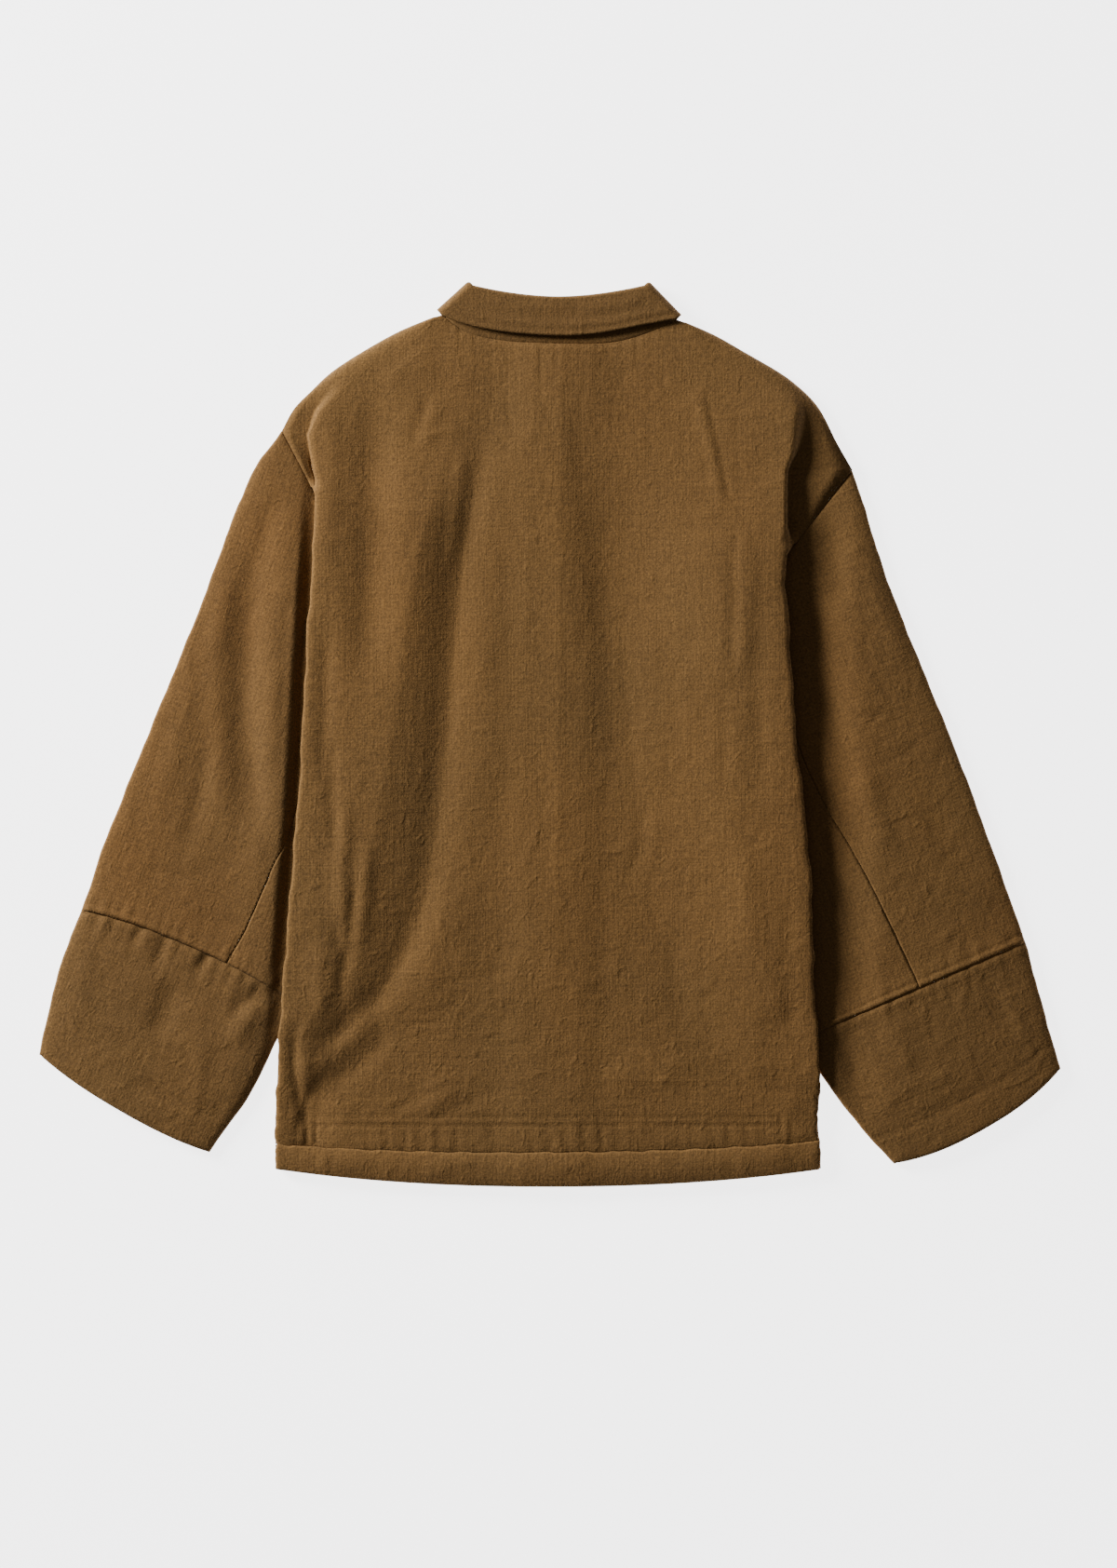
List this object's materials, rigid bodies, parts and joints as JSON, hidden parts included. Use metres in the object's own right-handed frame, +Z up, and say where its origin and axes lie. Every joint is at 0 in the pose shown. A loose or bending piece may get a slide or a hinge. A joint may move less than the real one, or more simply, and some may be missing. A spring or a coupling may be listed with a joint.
{
  "type": "work jacket",
  "caption": "Linen work jacket lying flat with its back up: turned-down collar, long sleeves with deep cuffs, hem band and a hidden button front.",
  "frame": {"origin": "middle of the jacket's outline, on the surface it lies on", "axes": "+Z up out of the jacket's back, +Y towards the collar, +X towards the jacket's right sleeve"},
  "size_m": [0.8222, 0.7278, 0.0157],
  "materials": {
    "linen": "matt slubby plain weave, tobacco brown",
    "button": "satin dark brown"
  },
  "bodies": {
    "root": {"back": "linen", "hem_band_back": "linen", "front_left": "linen", "hem_band_front_left": "linen", "front_right": "linen", "hem_band_front_right": "linen", "sleeve_left_upper": "linen", "sleeve_left_under": "linen", "sleeve_right_upper": "linen", "sleeve_right_under": "linen", "cuff_left": "linen", "cuff_right": "linen", "collar_stand": "linen", "collar_leaf": "linen", "button_1": "button", "button_2": "button", "button_3": "button", "button_4": "button", "button_5": "button"}
  },
  "joints": []
}
